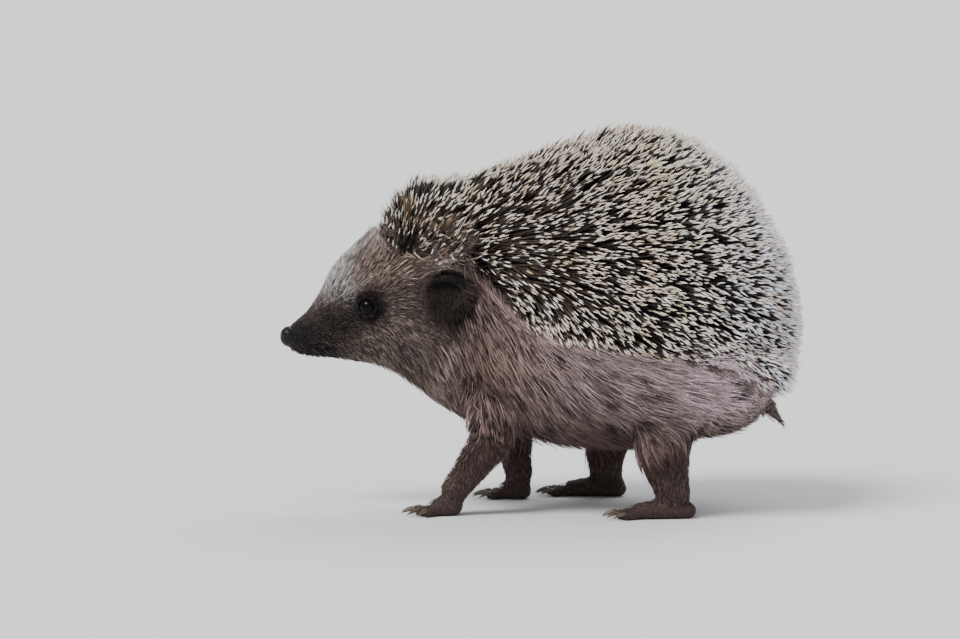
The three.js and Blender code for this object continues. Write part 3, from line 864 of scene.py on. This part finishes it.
def quills(ground):
    """All quills, in a piece each for the crown, both sides of the back, and the rump."""
    roots, normals, places = quill_roots(ground)
    count = len(roots)
    along, _ = side_view(roots)
    way = quill_ways(roots, normals)
    lengths = quill_lengths(roots, way)
    tips, lock = gathered(roots, roots + way * lengths[:, None], 4.4, 0.32)
    uneven = 0.16 * fading(along, -60, -45) * (rng.random(count) - 0.35)
    tips = roots + (tips - roots) * (0.90 + 0.18 * lock + uneven)[:, None]
    middles = (roots + tips) / 2 + 0.035 * lengths[:, None] * (normals + rng.standard_normal(roots.shape))
    rear, hem = smoothstep(along, 10, 90), fading(above_hem(roots), 2, 14)
    tone = rng.random(count) * (1 - 0.4 * on_crown(roots))
    tone = (tone + rear * 0.12 * (1 - tone)) * (1 - 0.4 * hem)
    tint = blended(by_crown(roots, QUILL_ROOT_TINTS), rear, QUILL_REAR_TINT)
    widths = rng.uniform(*QUILL_WIDTHS, count) * (1 - 0.2 * hem) * MM
    coat = (roots - QUILL_SUNK * MM * normals, middles, tips, widths, places, tone, tint)
    covering = (above_hem(tips) > -2.5) | (along < -20)
    crown = covering & (roots[:, 1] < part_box("spines_crown")[1].y)
    rump = covering & (roots[:, 1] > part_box("spines_rump")[0].y + 12 * MM)
    back, left = covering & ~crown & ~rump, roots[:, 0] >= 0
    parts = {"crown": crown, "back_left": back & left, "back_right": back & ~left, "rump": rump}
    for name, chosen in parts.items():
        piece = strands(f"quills_{name}", coat, chosen, QUILL_PROFILE, "spines", sides=4)
        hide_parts(f"spines_{name.split('_')[0]}")


def fur_density(ground, nodes, density):
    """Hairs per square mm: none on eyes, nose and soles or under quills, fewer on the belly, and more
    on the snout and round the eyes."""
    along, up = side_view(ground.middles)
    high = above_hem(ground.middles)
    from_eye = eye_clearance(ground.middles)[0]
    bare = (from_eye < EYE_RADIUS / MM + 0.1) | (gap_to(ground.middles, [NOSE_AT]) < 4.5 * MM) | (up < 3)
    density = density * ground.on(nodes) * ~bare
    density *= 1 - smoothstep(high - CROWN_FUR * on_crown(ground.middles), 3, 8) * (along > FRINGE)
    density *= 1 - smoothstep(along, 90, 99) * (high > -2)
    density *= 1 - 0.65 * smoothstep(ground.down, 0.2, 0.7) * (up > 20)
    density *= 1 + 0.9 * fading(from_eye, 5.0, 7.5)
    return density * (1 + 0.7 * fading(along, -98, -86))


def fur_flow(roots, normals):
    """The way of each hair along the skin, off the eyes, and how near the eye it grows, up to 1."""
    way = comb_way(roots, FUR_COMB, 10)
    way[:, 0] += 0.16 * rng.standard_normal(len(roots))
    clearance, from_eye = eye_clearance(roots)
    near_eye = fading(clearance, 4.2, 7.5)
    way += from_eye * near_eye[:, None] * 1.2
    return unit(way - normals * (way * normals).sum(1, keepdims=True)), near_eye


def laid(roots, normals, way, lengths):
    """Tips that lie just under the outline of the coat, and hang past it under the belly."""
    room = nearest_on(SOFT_TREE, roots)[2]
    at, out, _ = nearest_on(SOFT_TREE, roots + way * lengths[:, None])
    fringe = 0.35 * smoothstep(-normals[:, 2], -0.1, 0.5) * (roots[:, 2] > 28 * MM)
    depth = room * (rng.uniform(-0.12, 0.62, len(roots)) - fringe)
    stray = (rng.random(len(roots)) < STRAY_SHARE) * rng.uniform(0.06, 0.22, len(roots)) * lengths
    return at - out * (depth - stray)[:, None]


def coat_of(roots, normals, places, tips, width, tone, tint):
    """All that strands() asks of fur, with middles that stand up a little."""
    lengths = np.linalg.norm(tips - roots, axis=1)[:, None]
    middles = (roots + tips) / 2 + lengths * (0.09 * normals + 0.055 * rng.standard_normal(roots.shape))
    widths = width * rng.uniform(0.75, 1.2, len(roots)) * MM
    return roots - HAIR_SUNK * MM * normals, middles, tips, widths, places, tone, tint


def fur(ground, name, nodes, density, width, profile, spacing, pull, slot):
    roots, normals, places = ground.roots(fur_density(ground, nodes, density))
    way, near_eye = fur_flow(roots, normals)
    lengths = combed(roots, FUR_COMB, 4) * rng.uniform(0.7, 1.15, len(roots)) * MM * (1 - 0.58 * near_eye)
    tips, lock_tone = gathered(roots, laid(roots, normals, way, lengths), spacing, pull)
    shared = LOCK_TONE * pull
    tone = rng.random(len(roots)) * (1 - shared) + shared * lock_tone
    coat = coat_of(roots, normals, places, tips, width, tone, tint_of(roots))
    left = roots[:, 0] >= 0
    low = (roots[:, 2] < BELLY_TOP * MM) & (name == "flank")
    strands_by_side(f"fur_{name}", coat, left, profile, slot, ~low)
    if name == "flank":
        strands_by_side("fur_belly", coat, left, profile, slot, low)


def ear_brush_at(points):
    """How near points lie to the roots of the long hairs over the tops of the ears, up to 1."""
    return np.prod([bell(values, *place) for values, place in zip(side_view(points), EAR_BRUSH)], axis=0)


def guard_density(ground):
    """Long hairs per square mm: most along the hem, few on the crown and at the tops of the legs."""
    along, up = side_view(ground.middles)
    high = above_hem(ground.middles)
    density = 0.56 * ground.on(("neck", "trunk") + MANTLE) * fading(high, 3, 9) * (1 + 1.1 * bell(high, 3, 5))
    density *= smoothstep(up, 32, 46) * (along > -56) * fading(along, 78, 94)
    density *= 1 - 0.8 * smoothstep(up, 92, 98) * fading(along, -36, -20)
    for leg_along in LEG_TOPS:
        density *= 1 - 0.85 * bell(along, leg_along, 13) * fading(up, 40, 54)
    fringe = smoothstep(along, -8, 2) * fading(along, 44, 54) * bell(up, 36, 5)
    density += 0.4 * fringe * ground.on(("trunk",))
    return density + 2.1 * ear_brush_at(ground.middles) * ground.on(("head", "neck", "spines_crown"))


def guard_hairs(ground):
    """Long pale hairs over the fur of neck and flank, the lowest quills and the tops of the ears."""
    roots, normals, places = ground.roots(guard_density(ground))
    count = len(roots)
    along, up = side_view(roots)
    way, _ = fur_flow(roots, normals)
    lengths = 1.25 * combed(roots, FUR_COMB, 4)[:, None] * rng.uniform(0.75, 1.15, (count, 1)) * MM
    at, out, _ = nearest_on(OUTLINE_TREE, roots + way * lengths)
    hung = np.outer(2.6 * fading(up, 34, 44), [0, 0, 1])
    tips = at + (out * rng.uniform(-0.2, 1.4, (count, 1)) - hung) * MM
    tips, _ = gathered(roots, tips, 4.2, 0.45)
    at, out, _ = nearest_on(OUTLINE_TREE, roots + 0.4 * way * lengths)
    middles = at + out * rng.uniform(0.0, 1.2, (count, 1)) * MM
    over_ear = ear_brush_at(roots)[:, None] > 0.15
    brush_way = np.where(roots[:, :1] < 0, [-1, 1, 1], 1) * EAR_BRUSH_WAY
    sweep = 1.05 * lengths * unit(brush_way + 0.16 * normals + 0.10 * rng.standard_normal(roots.shape))
    tips = np.where(over_ear, roots + sweep, tips)
    middles = np.where(over_ear, roots + 0.5 * sweep + 1.2 * MM * normals, middles)
    tint = tint_of(roots - np.outer(smoothstep(above_hem(roots), -6, 0), [0, 0, 10 * MM]))
    widths = rng.uniform(*GUARD_WIDTHS, count) * (1 - 0.3 * over_ear[:, 0]) * MM
    tone = rng.uniform(0.5, 1.0, count)
    pale = (0.72 + 0.28 * smoothstep(up, 42, 62) + 0.16 * smoothstep(along, 20, 50))[:, None] + 0.3 * over_ear
    # the long hairs' tint carries a painted bluish sheen over their own pale colour
    coat = (roots, middles, tips, widths, places, tone, tint * pale * GUARD_TINT_AND_SHEEN)
    strands_by_side("guard_hair", coat, roots[:, 0] >= 0, GUARD_PROFILE, "body_fur")


def ear_fur(ground, number):
    """Short dark fur in and behind an ear, darkened further in its upper bowl as painted shade under the rim,
    and a brush along the top of its rim.
    """
    facing, back, up = ways_of(EAR_WAYS, number)
    out, _, (_, above) = on_ear(ground.middles, number)
    inside = fading(out, 0.75, 0.95) * smoothstep(above, -1.5, 2)
    inside *= (ground.normals[ground.tris[:, 0]] @ facing) > 0.2
    density = (5.2 + 3.0 * fading(above, -3, 2) * (out < 1)) * ground.on(EARS[number:number + 1])
    roots, normals, places = ground.roots(density * (1 - inside))
    out, _, (behind, above) = on_ear(roots, number)
    away = unit(np.outer(behind, back) + np.outer(above, up))
    brush = smoothstep(out, 0.75, 1.0) * smoothstep(above + 0.2 * behind, 1, 6)
    below = fading(above, -2, 2)
    way = unit(0.55 * away + 0.8 * comb_way(roots, FUR_COMB, 14) + 0.45 * normals)
    drooping = unit(0.7 * facing - 0.6 * up - 0.2 * back + 0.25 * rng.standard_normal(way.shape))
    way = unit(blended(way, fading(out, 0.85, 1.0), drooping))
    lengths = (2.0 + 3.9 * brush + 3.0 * below) * rng.uniform(0.6, 1.3, len(roots)) * MM
    tips, _ = gathered(roots, roots + way * lengths[:, None], 1.6, 0.25)
    # fur in the upper bowl is darkened as painted shade under the rim
    bowl = fading(out, 0.7, 1.0) * (1 - below)
    tint = tint_of(roots) * (1 - 0.8 * bowl)[:, None]
    tint = blended(tint, brush * (1 - bowl) * 0.8, EAR_BRUSH_TINT)
    coat = coat_of(roots, normals, places, tips, 0.23, rng.random(len(roots)), tint)
    strands(f"fur_{EARS[number]}", coat, slice(None), SHORT_PROFILE, "ear_skin")


def feelers(ground):
    """Whiskers on both sides of the snout."""
    along, up = (rng.uniform(*reach, FEELERS) for reach in FEELER_ROOTS)
    side = np.where(np.arange(FEELERS) % 2, 1, -1)
    start = np.stack([side * 20, along, up], 1) * MM
    skin_tree = tree_of(ground.verts, ground.tris)
    hits = [skin_tree.ray_cast(p, (-s, 0, 0)) for p, s in zip(start.tolist(), side.tolist())]
    roots = np.array([hit[0] for hit in hits])
    out, back, rise = (rng.uniform(*reach, FEELERS) for reach in ((0.5, 1.0), (0.1, 0.9), (-0.75, 0.05)))
    way = unit(np.stack([side * out, back, rise], 1))
    lengths = rng.uniform(*FEELER_SIZES, (FEELERS, 1)) * MM
    tips = roots + way * lengths
    middles = (roots + tips) / 2 + lengths * [0, -0.06, 0.08]
    places = ground.uv[[hit[2] for hit in hits]].mean(1)
    tone, widths = rng.random(FEELERS), np.full(FEELERS, FEELER_WIDTH * MM)
    coat = (roots - way * 0.5 * MM, middles, tips, widths, places, tone, np.tile(FEELER_TINT, (FEELERS, 1)))
    strands("whiskers", coat, slice(None), HAIR_PROFILE, "face_fur")


# ---------- eyes, nose and claws

# The nose pad on a unit ball: (place on the left, reach, depth). What is raised has less than no depth.
NOSE_FORM = (
    ((0.4, -0.78, 0.44), (0.32, 0.5, 0.26), -0.06),
    ((0.5, -0.78, -0.42), (0.32, 0.5, 0.2), -0.06),
    ((0.6, -0.76, 0.0), (0.16, 0.2, 0.14), 0.5),
) + tuple(
    ((0.66 + 0.3 * t, -0.72 + 0.56 * t, -0.02 + 0.26 * t ** 2), (0.1, 0.12, 0.07), 0.14 * (1 - 0.6 * t))
    for t in np.linspace(0, 1, 8)
)
NOSE_GROOVE = np.linspace(0.35, -0.95, 9)  # heights of the dents down its middle
CLAW_RINGS, CLAW_SIDES = 12, 14


def covered(node, verts, tris, material):
    """A finer piece that stands for a node."""
    piece = mesh_object(f"fine_{node}", verts, tris)
    piece.data.materials.append(material)
    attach(piece, "root")
    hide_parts(node)


def ball(detail):
    """A unit sphere of fine triangles."""
    work = bmesh.new()
    bmesh.ops.create_icosphere(work, subdivisions=detail, radius=1)
    return taken_from(work)


def dent(verts, at, reach, depth):
    """Presses a soft hollow into the unit sphere's verts, towards its middle."""
    gap = np.linalg.norm((verts - unit(np.array(at, float))) / np.array(reach), axis=1)
    return verts * (1 - depth * np.exp(-gap ** 2))[:, None]


def eyes():
    verts, tris = ball(5)
    for eye, place in zip(EYES, EYE_PLACES):
        covered(eye, place + verts * EYE_RADIUS, tris, PLAIN["eye"])


def nose():
    """The bare pad, with a groove down its middle and a comma of a nostril on each side."""
    verts, tris = ball(6)
    front = np.maximum(-verts[:, 1:2], 0)
    verts = verts * [1, 0.9, 0.93] + front ** 2 * [0, 0.06, 0]
    for side in (1, -1):
        for (x, y, z), reach, depth in NOSE_FORM:
            verts = dent(verts, (side * x, y, z), reach, depth)
    for drop in NOSE_GROOVE:
        verts = dent(verts, (0, -0.8, drop), (0.06, 0.5, 0.14), 0.055)
    behind = np.maximum(verts[:, 1:2], 0)
    verts = verts + behind * [0, 0.55, 0]
    verts[:, [0, 2]] *= 1 - 0.06 * behind
    size = centre_and_size("nose")[1]
    covered("nose", NOSE_AT + verts * (size / 2 + 0.1 * MM), tris, PLAIN["nose"])


def claw(node):
    """A smooth, bent cone on a claw's own axis, let into its toe."""
    root, tip, axis, thick = claw_axis(node)
    root = root - CLAW_LET_IN * MM * axis
    across = unit(np.cross(axis, [0, 0, 1]))
    deep = np.cross(across, axis)
    points, tris = [], []
    for r in range(CLAW_RINGS):
        t = r / CLAW_RINGS
        centre = root + (tip - root) * t + deep * thick * (0.5 - 2 * (t - 0.5) ** 2)
        half = thick * (1 - t ** 1.7) * 0.9
        for k in range(CLAW_SIDES):
            turn = 2 * math.pi * k / CLAW_SIDES
            points.append(centre + half * (0.85 * across * math.cos(turn) + deep * math.sin(turn)))
    points += [tip, root]
    last, end = (CLAW_RINGS - 1) * CLAW_SIDES, CLAW_RINGS * CLAW_SIDES
    for k in range(CLAW_SIDES):
        ahead = (k + 1) % CLAW_SIDES
        for start in range(0, last, CLAW_SIDES):
            a, b = start + k, start + ahead
            tris += [(a, b, b + CLAW_SIDES), (a, b + CLAW_SIDES, a + CLAW_SIDES)]
        tris += [(last + k, last + ahead, end), (ahead, k, end + 1)]
    covered(node, np.array(points), np.array(tris), PLAIN["claw"])


# ---------- materials

class Nodes:
    """The nodes of a material or of the world, made with short calls."""

    def __init__(self, owner):
        owner.use_nodes = True
        self.owner, self.tree = owner, owner.node_tree

    def add(self, kind, inputs=(), **settings):
        node = self.tree.nodes.new(f"ShaderNode{kind}")
        for key, value in settings.items():
            setattr(node, key, value)
        return self.fed(node, inputs)

    def fed(self, node, inputs):
        for key, value in dict(inputs).items():
            if isinstance(value, bpy.types.NodeSocket):
                self.tree.links.new(value, node.inputs[key])
            else:
                node.inputs[key].default_value = value
        return node

    def attribute(self, name, output="Fac"):
        return self.add("Attribute", attribute_name=name).outputs[output]

    def math(self, operation, *values):
        return self.add("Math", enumerate(values), operation=operation).outputs[0]

    def ramp(self, factor, *stops):
        """Colours, or greys given as one number, at places along a factor."""
        node = self.add("ValToRGB", {"Fac": factor})
        places = node.color_ramp.elements
        while len(places) < len(stops):
            places.new(0.5)
        for place, (at, colour) in zip(places, stops):
            place.position = at
            place.color = (*np.broadcast_to(colour, 3), 1)
        return node.outputs["Color"]

    def mix(self, factor, a, b, blend="MIX"):
        """Two colours mixed, by the sockets that this node has for colours."""
        return self.add("Mix", {0: factor, 6: a, 7: b}, data_type="RGBA", blend_type=blend).outputs[2]

    def times(self, a, b):
        return self.mix(1.0, a, b, "MULTIPLY")

    def finish(self, colour, roughness, specular=0.5, **inputs):
        inputs.update({"Base Color": colour, "Roughness": roughness, "Specular IOR Level": specular})
        self.fed(self.tree.nodes["Principled BSDF"], inputs)
        return self.owner


def fur_material(name, dark, light, root_shade):
    """Hair tinted by the markings, darker and lighter from strand to strand and dark at the root."""
    nodes = Nodes(bpy.data.materials.new(name))
    palest = (light, light, light * 1.02)
    shade = nodes.ramp(nodes.attribute("tone"), (0.15, dark), (0.45, 0.68), (0.62, 1.15), (0.85, palest))
    colour = nodes.times(nodes.attribute("tint", "Color"), shade)
    root = nodes.ramp(nodes.attribute("along"), (0.0, root_shade), (0.5, 1.0))
    return nodes.finish(nodes.times(colour, root), roughness=0.45, specular=0.28)


# Stops of the quills' colours. The first two go by the blue of the root's tint, which is least on the
# back, more on the crown and most at the rear. The last goes by chance.
QUILL_CREAM = ((0.08, (0.96, 0.87, 0.77)), (0.14, (0.96, 0.88, 0.73)), (0.36, (1.0, 0.99, 1.02)))
QUILL_BAND = ((0.08, (0.042, 0.032, 0.027)), (0.36, (0.074, 0.064, 0.066)))
QUILL_HUES = (
    (0.0, (0.8, 0.7, 0.54)), (0.18, (0.96, 0.86, 0.78)), (0.45, (1.0, 0.98, 0.97)),
    (0.7, (0.92, 0.96, 1.04)), (1.0, (1.0, 0.99, 1.0)),
)
QUILL_POINT = (0.8, 0.72, 0.62, 1)
BANDS_SPAN = 25.0  # mm below the tip that are 1 to the stops of the bands
BANDS_SHIFT = (-2.6, 1.3)  # in mm: from quill to quill by its tone, and for all
BAND_ENDS = ((0.0, 0.03), (0.12, 0.18), (0.42, 0.6))  # where the point, the cream and the band give way


def quill_material():
    """Banded quills: cream tip, black-brown band, tan root."""
    nodes = Nodes(bpy.data.materials.new("quill bands"))
    tone = nodes.attribute("tone")
    shift = nodes.math("MULTIPLY_ADD", tone, *BANDS_SHIFT)
    below = nodes.math("ADD", nodes.attribute("below_tip"), shift)
    place = nodes.math("DIVIDE", below, BANDS_SPAN)
    root = nodes.attribute("tint", "Color")
    rear = nodes.add("SeparateColor", {"Color": root}).outputs["Blue"]
    past_point, past_cream, past_band = (nodes.ramp(place, (a, 0.0), (b, 1.0)) for a, b in BAND_ENDS)
    tip = nodes.mix(past_point, QUILL_POINT, nodes.ramp(rear, *QUILL_CREAM))
    chance = nodes.math("FRACT", nodes.math("MULTIPLY", tone, 7.13))
    tip = nodes.times(tip, nodes.ramp(chance, *QUILL_HUES))
    banded = nodes.mix(past_cream, tip, nodes.ramp(rear, *QUILL_BAND))
    return nodes.finish(nodes.mix(past_band, banded, root), roughness=0.36)


def plain_material(name, texture, stops, bump, roughness, specular, tinted=False):
    """One texture gives the colour, on the skin over its markings, and the bump."""
    nodes = Nodes(bpy.data.materials.new(name))
    kind, scale, detail = texture
    place = nodes.add("TexCoord").outputs["Object"]
    value = nodes.add(f"Tex{kind}", {"Vector": place, "Scale": scale, "Detail": detail}).outputs[0]
    colour = nodes.ramp(value, *stops)
    if tinted:
        colour = nodes.times(nodes.attribute("tint", "Color"), colour)
    strength, distance, invert = bump
    shape = {"Height": value, "Strength": strength, "Distance": distance}
    normal = nodes.add("Bump", shape, invert=invert).outputs["Normal"]
    return nodes.finish(colour, roughness, specular, Normal=normal)


COATS = {
    "face_fur": fur_material("face fur", 0.32, 2.4, 0.5),
    "body_fur": fur_material("body fur", 0.13, 2.7, 0.18),
    "leg_fur": fur_material("leg fur", 0.45, 1.9, 0.5),
    "foot_skin": fur_material("foot fur", 0.6, 1.7, 0.7),
    "ear_skin": fur_material("ear fur", 0.6, 1.8, 0.6),
    "spines": quill_material(),
}
# Of each other material: its name, its texture with scale and detail, the stops of its colours, the
# bump's strength, distance and whether it is turned inwards, roughness and specular level.
PLAIN = {
    "eye": ("eye", ("Noise", 60.0, 3.0),
            ((0.35, (0.0011, 0.000825, 0.000825)), (0.65, (0.002, 0.0015, 0.0015))),
            (0.0, 0.0001, False), 0.06, 0.12),
    "nose": ("nose skin", ("Voronoi", 2400.0, 0.0), ((0.2, (0.01, 0.009, 0.009)), (0.7, 0.003)),
             (0.45, 0.0002, True), 0.25, 0.22),
    "claw": ("claw horn", ("Noise", 500.0, 3.0),
             ((0.35, (0.066, 0.0495, 0.03575)), (0.65, (0.12, 0.09, 0.065))),
             (0.1, 0.0001, False), 0.32, 0.5),
    "skin": ("skin under fur", ("Noise", 900.0, 4.0), ((0.3, 0.2), (0.7, 0.55)),
             (0.5, 0.0004, False), 0.75, 0.25, True),
    "paper": ("paper", ("Noise", 400.0, 2.0), ((0.3, 0.79), (0.7, 0.81)), (0.0, 0.0001, False), 1.0, 0.0),
}
PLAIN = {key: plain_material(*facts) for key, facts in PLAIN.items()}

# ---------- the animal

outline_verts, outline_tris, _ = joined(BODY_NODES, by=GROWTH)
outline_verts, outline_tris = remeshed(outline_verts, outline_tris)
soft_verts = softened(outline_verts, outline_tris)
OUTLINE_TREE = tree_of(outline_verts, outline_tris)
SOFT_TREE = tree_of(soft_verts, outline_tris)
skin_verts, skin_tris = finished_skin(outline_verts, outline_tris, soft_verts)
skin = mesh_object("skin", skin_verts, skin_tris, tint=skin_tint(skin_verts))
skin.data.materials.append(PLAIN["skin"])
skin_uv = unwrapped(skin)
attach(skin, "root")
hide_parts(*FLESH, *MANTLE)
ground = Ground(skin_verts, skin_tris, skin_uv)
quills(ground)
for kind in FURS:
    fur(ground, *kind)
guard_hairs(ground)
for ear_number in range(2):
    ear_fur(ground, ear_number)
eyes()
nose()
for leg in LEGS:
    for toe in TOES:
        claw(f"claw_{leg}_{toe}")
feelers(ground)

# ---------- floor, light and camera

ELEVATION = 5  # of the camera, in degrees
DISTANCE = 2.3  # of the camera, in metres
VIEW_WIDTH = 0.405  # at the animal, in metres
AIM = Vector((0, -0.0255, 0.0795))
ROOM = (0.578, 0.592, 0.612)
HORIZON = (1.26, 1.26, 1.26)
# (name, way to the light, its breadth in degrees, strength, colour)
SUNS = (
    ("key", (0.42, -0.42, 0.8), 26, 2.9, (1.0, 0.985, 0.96)),
    ("back", (-0.62, 0.3, 0.72), 40, 1.3, (0.95, 0.98, 1.0)),
)


def camera():
    data = bpy.data.cameras.new("camera")
    cam = linked("camera", data)
    elevation = math.radians(ELEVATION)
    cam.location = AIM + Vector((math.cos(elevation), 0, math.sin(elevation))) * DISTANCE
    cam.rotation_euler = (AIM - cam.location).to_track_quat("-Z", "Y").to_euler()
    data.lens = data.sensor_width * DISTANCE / VIEW_WIDTH
    data.clip_start = 0.05
    bpy.context.scene.camera = cam


def sun(name, way, breadth, strength, colour):
    data = bpy.data.lights.new(name, "SUN")
    data.angle = math.radians(breadth)
    data.energy = strength
    data.color = colour
    linked(name, data).rotation_euler = Vector(way).to_track_quat("Z", "Y").to_euler()


def studio():
    """A pale room, as bright near the horizon as the floor."""
    world = bpy.data.worlds.new("studio")
    nodes = Nodes(world)
    way = nodes.add("TexCoord").outputs["Generated"]
    rise = nodes.add("SeparateXYZ", {0: way}).outputs["Z"]
    nodes.fed(nodes.tree.nodes["Background"], {"Color": nodes.ramp(rise, (0.03, HORIZON), (0.22, ROOM))})
    bpy.context.scene.world = world


camera()
for one in SUNS:
    sun(*one)
studio()
bpy.ops.mesh.primitive_circle_add(radius=60, vertices=96, fill_type="NGON")
floor = bpy.context.object
floor.name = "floor"
floor.data.materials.append(PLAIN["paper"])
